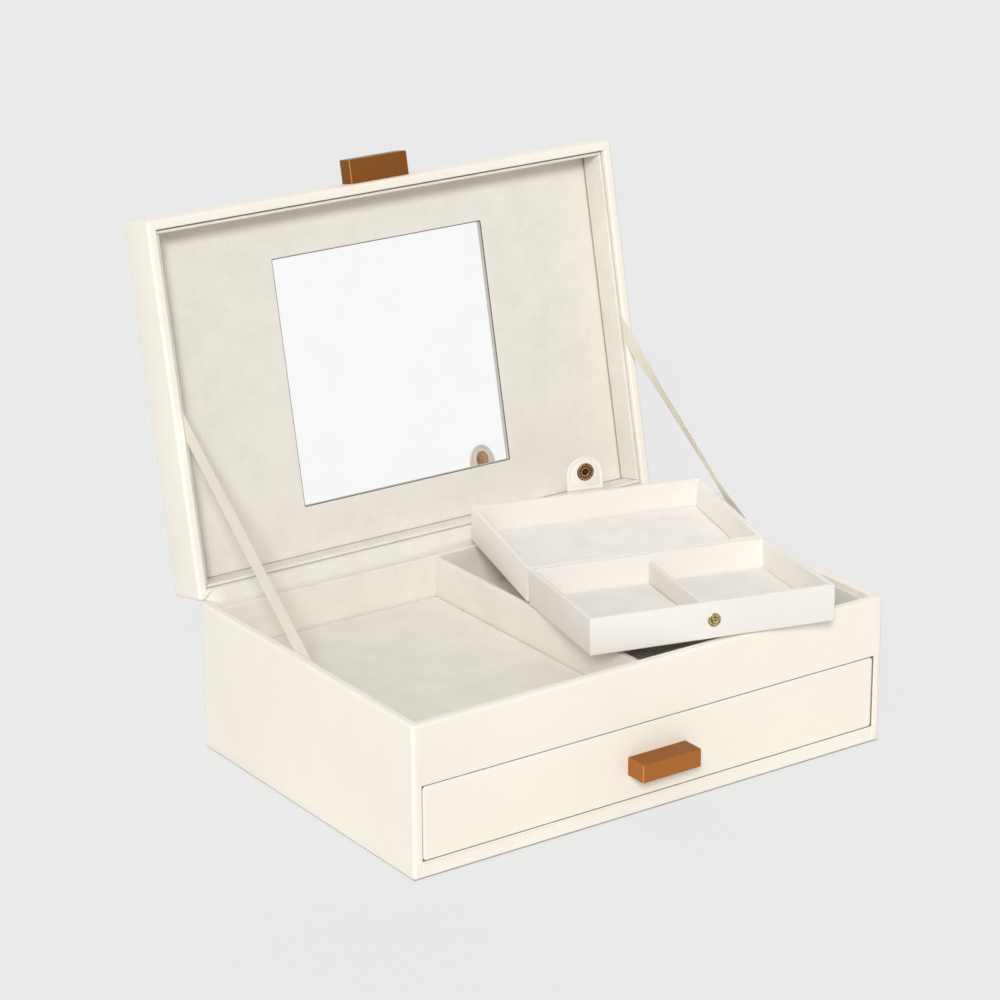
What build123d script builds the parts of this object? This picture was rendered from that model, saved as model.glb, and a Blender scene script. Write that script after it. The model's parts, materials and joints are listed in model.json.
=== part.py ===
from build123d import *
import math
import os

# Jewellery drawer organizer: a leatherette covered box with a lift-up mirror lid, a drawer below
# and a folding travel case that stands open on the right well. Millimetres and degrees.
# The origin is the middle of the felt's underside, +Z is up and the drawer opens towards -Y.

# Whole box
box_width = 266.0
box_depth = 180.0
base_height = 73.5
lid_height = 24.0
lid_open_angle = 102.0
seat_gap = 0.4  # between the base rim and the closed lid's rim

# Boards, covering and felt
board_thick = 3.8
lid_board_thick = 3.1
cover_thick = 0.8
upright_radius = 2.0
rim_radius = 1.5
lid_top_radius = 1.8
felt_thick = 0.6
felt_inset = 0.6
overrun = 5.0

# Lining of the base and the lid
lining_gap = 0.6  # room for the ribbons and the hinge band behind the liners
liner_thick = 1.6
back_liner_thick = 3.0
liner_drop = 2.2
partition_thick = 3.0
partition_drop = 3.5
floor_pad_thick = 2.4
floor_pad_gap = 0.3
well_spare = 7.0  # by which the right well is wider than the travel case

# Drawer and its room
bottom_thick = 7.4
opening_height = 36.4
shelf_thick = 3.0
drawer_gap = 0.7
drawer_run = 0.4
drawer_setback = 0.3
drawer_front_thick = 6.0
drawer_edge_radius = 1.2
drawer_side_thick = 3.0
drawer_side_height = 27.0
drawer_bottom_thick = 2.6
drawer_back_clear = 4.0
drawer_pad_thick = 1.6

# Mirror and the panel in front of it
panel_thick = 1.6
mirror_thick = 2.0
window_width = 120.0
window_height = 120.0
mirror_lap = 2.0
mirror_clear = 0.2

# Pulls and their screws
pull_width = 33.0
pull_height = 9.0
pull_reach = 11.6
pull_edge_radius = 0.6
drawer_pull_drop = 1.2
lid_pull_drop = 0.8
screw_radius = 1.3
screw_head_radius = 2.6
screw_head_depth = 1.4
screw_bite = 7.0
screw_spacing = 18.0
screw_clear = 0.1

# Ribbon stays and the hinge band
ribbon_width = 8.4
ribbon_thick = 0.3
ribbon_tuck = 12.0
ribbon_lid_reach = 83.0  # from the hinge to where a ribbon leaves the lid
left_ribbon_base_reach = 83.0  # from the back to where the left ribbon enters the base
right_ribbon_base_reach = 89.8  # the right one goes in further forward
band_thick = 0.3
band_tuck = 8.0
band_lift = 0.5
band_radius = 2.0
band_end_gap = 0.4

# Travel case
case_width = 121.5
case_depth = 78.0  # of each half
case_height = 17.6  # of each half
case_wall = 2.6
case_floor = 2.2
case_pad_thick = 1.2
case_hinge_gap = 0.5
case_seat_gap = 0.4
case_yaw = -14.5
case_tilt = -2.6
case_fold_open = 5.9
case_side_inset = 0.4
case_back_inset = 8.4
case_rest_gap = 0.3
divider_thick = 2.0
divider_drop = 4.0
strip_thick = 0.3
strip_clear = 0.05
strip_drop = 8.0

# Snap fastener of the travel case
tab_width = 19.0
tab_thick = 1.2
tab_standoff = 1.3
tab_short = 0.6
tab_round = 9.2
tab_lean = 8.0
tab_root_height = 12.0
tab_root_gap = 0.2
stud_radius = 3.25
stud_flange = 0.4
stud_post_radius = 1.5
stud_post = 0.9
socket_radius = 4.0
socket_bore_radius = 2.0
socket_proud = 0.5
socket_barrel_radius = 2.8
socket_clear = 0.1
cap_radius = 4.5
cap_thick = 0.5

# Places that follow from the sizes
wall = board_thick + cover_thick
half_width = box_width / 2
half_depth = box_depth / 2
inner_x = half_width - wall
inner_y = half_depth - wall
liner_x = inner_x - lining_gap
liner_y = inner_y - lining_gap
room_x = liner_x - liner_thick
room_front_y = -(liner_y - liner_thick)
room_back_y = liner_y - back_liner_thick
opening_z = felt_thick + bottom_thick
opening_top_z = opening_z + opening_height
shelf_z = opening_top_z + cover_thick
floor_z = shelf_z + shelf_thick
liner_top_z = base_height - liner_drop
partition_right_x = room_x - case_width - well_spare
partition_left_x = partition_right_x - partition_thick
hinge_z = base_height + seat_gap / 2
rim_z = base_height + seat_gap
lid_top_z = rim_z + lid_height
lid_board_z = lid_top_z - cover_thick - lid_board_thick
mirror_z = lid_board_z - mirror_thick
panel_z = mirror_z - panel_thick
ribbon_x = inner_x - lining_gap / 2
case_hinge_z = case_height + case_seat_gap / 2
case_far_y = case_hinge_gap + case_depth
stud_z = case_height / 2
socket_rise = case_height + case_seat_gap - stud_z  # above the rear half's rim
tab_foot_y = case_far_y + tab_standoff
tab_back_y = tab_foot_y + tab_thick


def block(x0, x1, y0, y1, z0, z1):
    """A box between two corners."""
    middle = Pos((x0 + x1) / 2, (y0 + y1) / 2, (z0 + z1) / 2)
    return middle * Box(x1 - x0, y1 - y0, z1 - z0)


def mid_block(x, y, z0, z1):
    """A box centred on the Z axis, x and y being half its width and depth."""
    return block(-x, x, -y, y, z0, z1)


def rounded_block(x, y, z0, z1, upright, top, bottom=0):
    """A centred box with round upright edges and round top or bottom edges."""
    solid = mid_block(x, y, z0, z1)
    solid = fillet(solid.edges().filter_by(Axis.Z), upright)
    if top:
        solid = fillet(solid.faces().sort_by(Axis.Z)[-1].edges(), top)
    if bottom:
        solid = fillet(solid.faces().sort_by(Axis.Z)[0].edges(), bottom)
    return solid


def rod_y(x, z, y0, y1, radius):
    """A round rod along Y."""
    return Pos(x, (y0 + y1) / 2, z) * Rot(90, 0, 0) * Cylinder(radius, y1 - y0)


def screws(inner_face_y, front_face_y, z, clear=0):
    """Two countersunk screws driven towards -Y, or with a clearance the holes they need."""
    tip_y = front_face_y - screw_bite - clear
    bevel_y = inner_face_y - screw_head_depth
    pair = []
    for side in (-1, 1):
        x = side * screw_spacing / 2
        shank = rod_y(x, z, tip_y, bevel_y, screw_radius + clear)
        cone = Cone(screw_head_radius + clear, screw_radius + clear, screw_head_depth)
        head = Pos(x, (bevel_y + inner_face_y) / 2, z) * Rot(90, 0, 0) * cone
        pair.append(shank + head)
    return pair[0] + pair[1]


def pull(face_y, z, holes):
    """A wrapped block that stands out of a front face, bored for its screws."""
    half = pull_height / 2
    solid = block(-pull_width / 2, pull_width / 2, face_y - pull_reach, face_y, z - half, z + half)
    return fillet(solid.edges(), pull_edge_radius) - holes


# Base
def base_parts():
    """Covering, boards, felt and lining of the base."""
    x = half_width
    y = half_depth
    skin_x = x - cover_thick
    skin_y = y - cover_thick
    board_top = base_height - cover_thick
    core = rounded_block(
        skin_x, skin_y, felt_thick, board_top, upright_radius - cover_thick, rim_radius - cover_thick
    )
    cover = rounded_block(x, y, felt_thick, base_height, upright_radius, rim_radius) - core
    cover -= mid_block(inner_x, inner_y, floor_z, base_height + overrun)
    cover -= block(-inner_x, inner_x, -y - overrun, -inner_y, opening_z, opening_top_z)
    cover += block(-inner_x, inner_x, -skin_y, -inner_y, opening_top_z, shelf_z)

    parts = {"base_cover": cover}
    parts["left_board"] = core & block(-x, -inner_x, -y, y, felt_thick, base_height)
    parts["right_board"] = core & block(inner_x, x, -y, y, felt_thick, base_height)
    parts["back_board"] = core & block(-inner_x, inner_x, inner_y, y, felt_thick, base_height)
    parts["front_panel"] = core & block(-inner_x, inner_x, -y, -inner_y, shelf_z, base_height)
    parts["bottom_board"] = core & block(-inner_x, inner_x, -y, inner_y, felt_thick, opening_z)
    parts["shelf_board"] = mid_block(inner_x, inner_y, shelf_z, floor_z)
    parts["base_felt"] = mid_block(x - felt_inset, y - felt_inset, 0, felt_thick)

    parts["front_liner"] = block(-liner_x, liner_x, -liner_y, room_front_y, floor_z, liner_top_z)
    parts["back_liner"] = block(-liner_x, liner_x, room_back_y, liner_y, floor_z, liner_top_z)
    sides = {"left_liner": (-liner_x, -room_x), "right_liner": (room_x, liner_x)}
    for name, (x0, x1) in sides.items():
        parts[name] = block(x0, x1, room_front_y, room_back_y, floor_z, liner_top_z)
    partition_top = base_height - partition_drop
    parts["partition"] = block(
        partition_left_x, partition_right_x, room_front_y, room_back_y, floor_z, partition_top
    )
    pads = {"left_floor_pad": (-room_x, partition_left_x), "right_floor_pad": (partition_right_x, room_x)}
    for name, (x0, x1) in pads.items():
        parts[name] = block(
            x0 + floor_pad_gap,
            x1 - floor_pad_gap,
            room_front_y + floor_pad_gap,
            room_back_y - floor_pad_gap,
            floor_z,
            floor_z + floor_pad_thick,
        )
    return parts


# Lid, modelled closed and then swung open
lid_turn = Pos(0, half_depth, hinge_z) * Rot(-lid_open_angle, 0, 0) * Pos(0, -half_depth, -hinge_z)


def lid_point(reach, height):
    """Y and Z of a point of the open lid: reach from the hinge along the rim, height above the rim."""
    point = lid_turn * Pos(0, half_depth - reach, rim_z + height)
    return point.position.Y, point.position.Z


def lid_parts():
    """Covering, boards, lining, mirror and pull of the lid."""
    x = half_width
    y = half_depth
    core = rounded_block(
        x - cover_thick,
        y - cover_thick,
        rim_z + cover_thick,
        lid_top_z - cover_thick,
        upright_radius - cover_thick,
        lid_top_radius - cover_thick,
        rim_radius - cover_thick,
    )
    pull_z = (rim_z + lid_top_z) / 2 - lid_pull_drop
    holes = screws(-inner_y, -y, pull_z, screw_clear)
    cover = rounded_block(x, y, rim_z, lid_top_z, upright_radius, lid_top_radius, rim_radius) - core
    cover -= mid_block(inner_x, inner_y, rim_z - overrun, panel_z)

    parts = {"lid_cover": cover - holes}
    parts["lid_top_board"] = core & mid_block(x, y, lid_board_z, lid_top_z)
    parts["lid_left_board"] = core & block(-x, -inner_x, -y, y, rim_z, lid_board_z)
    parts["lid_right_board"] = core & block(inner_x, x, -y, y, rim_z, lid_board_z)
    parts["lid_back_board"] = core & block(-inner_x, inner_x, inner_y, y, rim_z, lid_board_z)
    front_board = core & block(-inner_x, inner_x, -y, -inner_y, rim_z, lid_board_z)
    parts["lid_front_board"] = front_board - holes

    glass_x = window_width / 2 + mirror_lap
    glass_y = window_height / 2 + mirror_lap
    window = mid_block(window_width / 2, window_height / 2, panel_z - overrun, mirror_z + overrun)
    seat = mid_block(glass_x + mirror_clear, glass_y + mirror_clear, panel_z, lid_board_z + overrun)
    parts["lid_panel"] = mid_block(inner_x, inner_y, panel_z, mirror_z) - window
    parts["mirror_frame"] = mid_block(inner_x, inner_y, mirror_z, lid_board_z) - seat
    parts["mirror"] = mid_block(glass_x, glass_y, mirror_z, lid_board_z)

    lining_z = rim_z + liner_drop
    room_y = liner_y - liner_thick
    parts["lid_front_liner"] = block(-liner_x, liner_x, -liner_y, -room_y, lining_z, panel_z)
    parts["lid_back_liner"] = block(-liner_x, liner_x, room_y, liner_y, lining_z, panel_z)
    parts["lid_left_liner"] = block(-liner_x, -room_x, -room_y, room_y, lining_z, panel_z)
    parts["lid_right_liner"] = block(room_x, liner_x, -room_y, room_y, lining_z, panel_z)
    parts["lid_pull"] = pull(-y, pull_z, holes)
    parts["lid_pull_screws"] = screws(-inner_y, -y, pull_z)
    return {name: lid_turn * solid for name, solid in parts.items()}


def stay_parts():
    """Ribbon stays and the hinge band, as they lie with the lid open."""
    lid_y, lid_z = lid_point(ribbon_lid_reach, 0)
    rise = lid_z - base_height
    ribbons = (
        ("left_ribbon", -1, left_ribbon_base_reach),
        ("right_ribbon", 1, right_ribbon_base_reach),
    )
    parts = {}
    for name, side, base_reach in ribbons:
        base_y = half_depth - base_reach
        run = math.hypot(lid_y - base_y, rise)
        slope = math.degrees(math.atan2(rise, lid_y - base_y))
        strip = Box(ribbon_thick, run + 2 * ribbon_tuck, ribbon_width)
        middle = Pos(side * ribbon_x, (base_y + lid_y) / 2, (base_height + lid_z) / 2)
        parts[name] = middle * Rot(slope, 0, 0) * strip

    leg = liner_drop + band_tuck
    behind = wall + lining_gap / 2
    route = [
        (half_depth - behind, base_height - leg),
        (half_depth - behind, base_height + band_lift),
        lid_point(behind, -band_lift),
        lid_point(behind, leg),
    ]
    section = trace(FilletPolyline(*route, radius=band_radius), band_thick)
    band_half = liner_x - band_end_gap
    parts["hinge_band"] = extrude(Plane.YZ * section, band_half, both=True)
    return parts


# Drawer
def drawer_parts():
    """Front with its covering and pull, and the box behind it."""
    front_x = inner_x - drawer_gap
    front_y = -half_depth + drawer_setback
    inside_y = front_y + drawer_front_thick
    z0 = opening_z + drawer_run
    z1 = opening_top_z - drawer_gap
    pull_z = (z0 + z1) / 2 - drawer_pull_drop
    holes = screws(inside_y, front_y, pull_z, screw_clear)
    shell = block(-front_x, front_x, front_y, inside_y, z0, z1)
    shell = fillet(shell.faces().sort_by(Axis.Y)[0].edges(), drawer_edge_radius)
    board = block(
        -front_x + cover_thick,
        front_x - cover_thick,
        front_y + cover_thick,
        inside_y,
        z0 + cover_thick,
        z1 - cover_thick,
    )
    parts = {"drawer_front_cover": shell - board - holes}
    parts["drawer_front"] = (board & shell) - holes
    parts["drawer_pull"] = pull(front_y, pull_z, holes)
    parts["drawer_pull_screws"] = screws(inside_y, front_y, pull_z)

    back_y = inner_y - drawer_back_clear
    room = front_x - drawer_side_thick
    side_top = z0 + drawer_side_height
    floor = z0 + drawer_bottom_thick
    rear_y = back_y - drawer_side_thick
    parts["drawer_left_side"] = block(-front_x, -room, inside_y, back_y, z0, side_top)
    parts["drawer_right_side"] = block(room, front_x, inside_y, back_y, z0, side_top)
    parts["drawer_back"] = block(-room, room, rear_y, back_y, z0, side_top)
    parts["drawer_bottom"] = block(-room, room, inside_y, rear_y, z0, floor)
    parts["drawer_pad"] = block(
        -room + floor_pad_gap,
        room - floor_pad_gap,
        inside_y + floor_pad_gap,
        rear_y - floor_pad_gap,
        floor,
        floor + drawer_pad_thick,
    )
    return parts


# Travel case, modelled with both halves level and its hinge line along X
fold_turn = Pos(0, 0, case_hinge_z) * Rot(case_fold_open, 0, 0) * Pos(0, 0, -case_hinge_z)
tab_turn = Pos(0, tab_back_y, case_height) * Rot(-tab_lean, 0, 0) * Pos(0, -tab_back_y, -case_height)


def case_place():
    """Stands the case on the front rim, with its rear half over the right wall's rim."""
    lean = Rot(0, 0, case_yaw) * Rot(case_tilt, 0, 0)
    right = (lean * fold_turn * Pos(case_width, case_far_y, 0)).position
    left = (lean * fold_turn * Pos(0, case_far_y, 0)).position
    x = half_width - case_side_inset - right.X
    y = half_depth - case_back_inset - left.Y
    hinge_right_y = y + (lean * Pos(case_width, 0, 0)).position.Y
    to_rim = (hinge_right_y + inner_y) / math.cos(math.radians(case_yaw))
    rise = -to_rim * math.tan(math.radians(case_tilt))
    return Pos(x, y, base_height + case_rest_gap - rise) * lean


def case_half(name, near_y, far_y):
    """Floor, two end walls, the hinge wall and the outer wall of one half."""
    side = 1 if far_y > near_y else -1
    low_y = min(near_y, far_y)
    high_y = max(near_y, far_y)
    rows = {"hinge_wall": sorted((near_y, near_y + side * case_wall))}
    rows["outer_wall"] = sorted((far_y, far_y - side * case_wall))
    parts = {f"case_{name}_floor": block(0, case_width, low_y, high_y, 0, case_floor)}
    ends = {"left_wall": (0, case_wall), "right_wall": (case_width - case_wall, case_width)}
    for end, (x0, x1) in ends.items():
        parts[f"case_{name}_{end}"] = block(x0, x1, low_y, high_y, case_floor, case_height)
    for row, (y0, y1) in rows.items():
        inside = case_width - case_wall
        parts[f"case_{name}_{row}"] = block(case_wall, inside, y0, y1, case_floor, case_height)
    return parts


def case_pad(x0, x1, y0, y1):
    """A floor pad between four faces, a little smaller than the room."""
    gap = floor_pad_gap
    return block(x0 + gap, x1 - gap, y0 + gap, y1 - gap, case_floor, case_floor + case_pad_thick)


def case_front_parts():
    """Front half: tray, divider, pads and the stud on its outer wall."""
    parts = case_half("front", -case_hinge_gap, -case_far_y)
    y0 = -case_far_y + case_wall
    y1 = -case_hinge_gap - case_wall
    divider_left = (case_width - divider_thick) / 2
    divider_right = (case_width + divider_thick) / 2
    divider_top = case_height - divider_drop
    parts["case_divider"] = block(divider_left, divider_right, y0, y1, case_floor, divider_top)
    left_pad = case_pad(case_wall, divider_left, y0, y1)
    parts["case_front_pads"] = left_pad + case_pad(divider_right, case_width - case_wall, y0, y1)
    face_y = -case_far_y
    flange = rod_y(case_width / 2, stud_z, face_y - stud_flange, face_y, stud_radius)
    post_tip_y = face_y - stud_flange - stud_post
    post = rod_y(case_width / 2, stud_z, post_tip_y, face_y - stud_flange, stud_post_radius)
    parts["snap_stud"] = flange + post
    return parts


def case_rear_parts():
    """Rear half: tray, pad, the hinge strip and the glued root of the tab."""
    parts = case_half("rear", case_hinge_gap, case_far_y)
    y0 = case_hinge_gap + case_wall
    y1 = case_far_y - case_wall
    parts["case_rear_pad"] = case_pad(case_wall, case_width - case_wall, y0, y1)
    middle = case_width / 2
    parts["snap_tab_root"] = block(
        middle - tab_width / 2,
        middle + tab_width / 2,
        case_far_y,
        tab_back_y,
        case_height - tab_root_height,
        case_height - tab_root_gap,
    )
    return {name: fold_turn * solid for name, solid in parts.items()}


def case_strip():
    """Thin strip folded down between the two hinge walls."""
    outer = case_hinge_gap - strip_clear
    inner = outer - strip_thick
    low = case_height - strip_drop
    front_leg = block(0, case_width, -outer, -inner, low, case_height)
    rear_leg = fold_turn * block(0, case_width, inner, outer, low, case_height)
    bridge = block(0, case_width, -outer, outer, case_height - strip_thick, case_height)
    return front_leg + rear_leg + bridge


def tab_parts():
    """Flexing tab and the brass socket set through it."""
    middle = case_width / 2
    half = tab_width / 2
    top_z = 2 * case_height - tab_short
    tab = block(middle - half, middle + half, tab_foot_y, tab_back_y, case_height, top_z)
    tab = fillet(tab.edges().filter_by(Axis.Y).group_by(Axis.Z)[-1], tab_round)
    z = case_height + socket_rise
    tab -= rod_y(middle, z, tab_foot_y - overrun, tab_back_y + overrun, socket_barrel_radius + socket_clear)
    ring = rod_y(middle, z, tab_foot_y - socket_proud, tab_foot_y, socket_radius)
    barrel = rod_y(middle, z, tab_foot_y, tab_back_y, socket_barrel_radius)
    cap = rod_y(middle, z, tab_back_y, tab_back_y + cap_thick, cap_radius)
    bore = rod_y(middle, z, tab_foot_y - overrun, tab_back_y, socket_bore_radius)
    parts = {"snap_tab": tab, "snap_socket": ring + barrel + cap - bore}
    return {name: fold_turn * tab_turn * solid for name, solid in parts.items()}


def case_parts():
    """The whole case where it stands."""
    parts = case_front_parts() | case_rear_parts() | tab_parts()
    parts["case_hinge_strip"] = case_strip()
    place = case_place()
    return {name: place * solid for name, solid in parts.items()}


nodes = base_parts() | lid_parts() | stay_parts() | drawer_parts() | case_parts()

os.makedirs("parts", exist_ok=True)
for name, solid in nodes.items():
    export_step(solid, f"parts/{name}.step")
print(len(nodes), "nodes written")
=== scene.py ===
import json
import math

import bmesh
import bpy
from mathutils import Matrix, Vector


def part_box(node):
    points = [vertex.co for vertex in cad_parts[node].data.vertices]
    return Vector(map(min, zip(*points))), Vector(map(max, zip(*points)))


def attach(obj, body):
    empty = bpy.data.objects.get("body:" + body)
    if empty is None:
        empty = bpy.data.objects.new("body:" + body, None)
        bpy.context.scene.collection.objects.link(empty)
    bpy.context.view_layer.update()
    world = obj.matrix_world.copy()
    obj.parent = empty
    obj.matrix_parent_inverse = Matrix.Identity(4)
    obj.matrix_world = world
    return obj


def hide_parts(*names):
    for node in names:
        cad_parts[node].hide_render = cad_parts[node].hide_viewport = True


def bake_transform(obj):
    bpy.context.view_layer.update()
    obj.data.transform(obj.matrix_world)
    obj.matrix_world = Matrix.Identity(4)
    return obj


# Jewellery drawer organizer: skins, lining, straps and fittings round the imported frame.
# Lengths are metres unless a name says otherwise; MM turns millimetres into metres.
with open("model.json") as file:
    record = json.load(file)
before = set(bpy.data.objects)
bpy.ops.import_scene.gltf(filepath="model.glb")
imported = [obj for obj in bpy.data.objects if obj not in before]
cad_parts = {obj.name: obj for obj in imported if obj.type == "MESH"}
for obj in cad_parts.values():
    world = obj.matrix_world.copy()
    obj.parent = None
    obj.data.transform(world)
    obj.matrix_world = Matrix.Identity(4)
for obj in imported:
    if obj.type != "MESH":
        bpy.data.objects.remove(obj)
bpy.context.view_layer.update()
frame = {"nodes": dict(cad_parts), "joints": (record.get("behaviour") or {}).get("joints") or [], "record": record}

MM = 0.001
nodes = frame["nodes"]
joints = {joint["name"]: joint for joint in frame["joints"]}

# Places of the moving bodies
LID_OPEN = math.radians(joints["lid_hinge"]["range_deg"][1])
LID_HINGE = Vector(joints["lid_hinge"]["pos_m"])
FOLD_HINGE = Vector(joints["case_fold"]["pos_m"])
FOLD_AXIS = Vector(joints["case_fold"]["axis"])
TAB_HINGE = Vector(joints["snap_tab_flex"]["pos_m"])
CASE_TILT = math.radians(-2.6)  # tilt of the case's front half
CASE_FOLD_OPEN = math.radians(180 - joints["case_fold"]["range_deg"][1])
TAB_LEAN = math.radians(-joints["snap_tab_flex"]["range_deg"][0])


def turn_about(point, angle, axis):
    """A turn about an axis through a point."""
    return Matrix.Translation(point) @ Matrix.Rotation(angle, 4, axis) @ Matrix.Translation(-point)


# The lid's pieces are made closed and swung open; the case's are made along its own hinge line.
AT_REST = Matrix.Identity(4)
LID_PLACE = turn_about(LID_HINGE, -LID_OPEN, "X")
CASE_YAW = math.atan2(FOLD_AXIS.y, FOLD_AXIS.x)
CASE_FRONT_PLACE = (
    Matrix.Translation(FOLD_HINGE) @ Matrix.Rotation(CASE_YAW, 4, "Z") @ Matrix.Rotation(CASE_TILT, 4, "X")
)
CASE_REAR_PLACE = CASE_FRONT_PLACE @ Matrix.Rotation(CASE_FOLD_OPEN, 4, "X")
TAB_PLACE = (
    Matrix.Translation(TAB_HINGE)
    @ CASE_REAR_PLACE.to_3x3().to_4x4()
    @ Matrix.Rotation(-TAB_LEAN, 4, "X")
)


def local_box(node, place):
    """Lowest and highest corner of a CAD node in the frame of a place."""
    back = place.inverted()
    points = [back @ v.co for v in nodes[node].data.vertices]
    low = Vector(min(p[i] for p in points) for i in range(3))
    high = Vector(max(p[i] for p in points) for i in range(3))
    return low, high


# Finishes: the size of each feature, and its depth where it has relief
TONE_PATCH, WEAR_PATCH = 55 * MM, 9 * MM
SWAY_SIZE, SWAY_DEPTH = 38 * MM, 0.6 * MM
GRAIN_DEPTH = 0.06 * MM
NAP_SIZE, NAP_DEPTH = 16 * MM, 0.5 * MM
FIBRE_SIZE, FIBRE_DEPTH = 0.7 * MM, 0.12 * MM
THREAD_PITCH, THREAD_DEPTH = 0.3 * MM, 0.04 * MM
SPOT_SIZE = 0.9 * MM
SCRATCH_SIZE, SCRATCH_DEPTH = 0.25 * MM, 0.02 * MM
HAZE_SIZE = 30 * MM
BOARD_FIBRE_SIZE, BOARD_FIBRE_DEPTH = 2.2 * MM, 0.15 * MM
FELT_FIBRE_SIZE, FELT_FIBRE_DEPTH = 0.9 * MM, 0.3 * MM

# Colours, linear
WHITE = (1.0, 1.0, 1.0)
IVORY = (0.905, 0.862, 0.765)
CASE_WHITE = (0.825, 0.79, 0.735)
SUEDE_WHITE = (0.797, 0.763, 0.695)
CASE_SUEDE_WHITE = (0.845, 0.815, 0.77)
RIBBON_CREAM = (0.78, 0.74, 0.63)
TAN, TAN_EDGE = (0.385, 0.13, 0.024), (0.64, 0.30, 0.10)
# The lid's pull is drawn darker than the drawer's: BROWN is TAN at about half its brightness
BROWN, BROWN_EDGE = (0.215, 0.072, 0.010), (0.60, 0.29, 0.08)
# Dark colours painted where shade falls: in the suede along the lid's window and the liners' joins, in the
# leatherette round the drawer's gaps
SUEDE_SHADE_PAINT = (0.10, 0.092, 0.082)
LEATHER_SHADE_PAINT = (0.17, 0.14, 0.10)
FELT_GREY = (0.4, 0.375, 0.33)
BOARD_BROWN, CARD_GREY = (0.55, 0.44, 0.31), (0.6, 0.55, 0.46)
ANTIQUE_BRASS, ANTIQUE_TARNISH = (0.60, 0.37, 0.20), (0.045, 0.022, 0.01)
PALE_BRASS, PALE_TARNISH = (0.82, 0.69, 0.36), (0.12, 0.085, 0.03)
STEEL, STEEL_TARNISH = (0.62, 0.62, 0.6), (0.3, 0.28, 0.25)
# How dark the pulls are drawn on their marked side, their tops as they stand
DARKER_SIDE_TONE = 0.72
SPOT_TARNISH_SHARE = 0.65

# A mix node's sockets when it mixes colours
MIX_FACTOR, MIX_FIRST, MIX_SECOND, MIX_RESULT = 0, 6, 7, 2


# Materials
def new_material(name):
    """A node material with its shader, and its coordinates in the object's own frame."""
    material = bpy.data.materials.new(name)
    material.use_nodes = True
    tree = material.node_tree
    shader = tree.nodes["Principled BSDF"]
    coords = tree.nodes.new("ShaderNodeTexCoord").outputs["Object"]
    return material, tree, shader, coords


def noise_node(tree, coords, size, detail=3.0, roughness=0.55):
    """Noise whose features are about the given size in metres."""
    node = tree.nodes.new("ShaderNodeTexNoise")
    node.inputs["Scale"].default_value = 1 / size
    node.inputs["Detail"].default_value = detail
    node.inputs["Roughness"].default_value = roughness
    tree.links.new(coords, node.inputs["Vector"])
    return node.outputs["Fac"]


def cells_node(tree, coords, size):
    """Distance to the edges of cells of the given size in metres."""
    node = tree.nodes.new("ShaderNodeTexVoronoi")
    node.feature = "DISTANCE_TO_EDGE"
    node.inputs["Scale"].default_value = 1 / size
    tree.links.new(coords, node.inputs["Vector"])
    return node.outputs["Distance"]


def ramp(tree, value, stops):
    """A colour ramp on a value; stops are (place, colour) pairs."""
    node = tree.nodes.new("ShaderNodeValToRGB")
    elements = node.color_ramp.elements
    while len(elements) < len(stops):
        elements.new(1.0)
    for element, (place, colour) in zip(elements, stops):
        element.position = place
        element.color = (*colour, 1.0)
    tree.links.new(value, node.inputs["Fac"])
    return node.outputs["Color"]


def blend_colours(tree, factor, first, second, mode="MIX"):
    """Mixes two colours; factor, first and second are sockets or plain values."""
    node = tree.nodes.new("ShaderNodeMix")
    node.data_type = "RGBA"
    node.blend_type = mode
    for index, value in ((MIX_FACTOR, factor), (MIX_FIRST, first), (MIX_SECOND, second)):
        socket = node.inputs[index]
        if isinstance(value, bpy.types.NodeSocket):
            tree.links.new(value, socket)
        elif isinstance(value, tuple):
            socket.default_value = (*value, 1.0)
        else:
            socket.default_value = value
    return node.outputs[MIX_RESULT]


def to_range(tree, value, low, high):
    """Maps 0..1 to a range."""
    node = tree.nodes.new("ShaderNodeMapRange")
    node.inputs["To Min"].default_value = low
    node.inputs["To Max"].default_value = high
    tree.links.new(value, node.inputs["Value"])
    return node.outputs["Result"]


def bump(tree, height, distance, strength, below=None):
    """A bump from a height, on top of another one if given."""
    node = tree.nodes.new("ShaderNodeBump")
    node.inputs["Distance"].default_value = distance
    node.inputs["Strength"].default_value = strength
    tree.links.new(height, node.inputs["Height"])
    if below is not None:
        tree.links.new(below, node.inputs["Normal"])
    return node.outputs["Normal"]


def shade(colour, factor):
    """A colour made darker or lighter."""
    return tuple(min(1.0, c * factor) for c in colour)


def mark_node(tree, name):
    """A value painted on the points of a piece, 0 where none was painted."""
    node = tree.nodes.new("ShaderNodeAttribute")
    node.attribute_name = name
    return node.outputs["Fac"]


def blended(first, second, share):
    """A colour part of the way from one to another."""
    return tuple(a + (b - a) * share for a, b in zip(first, second))


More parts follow.
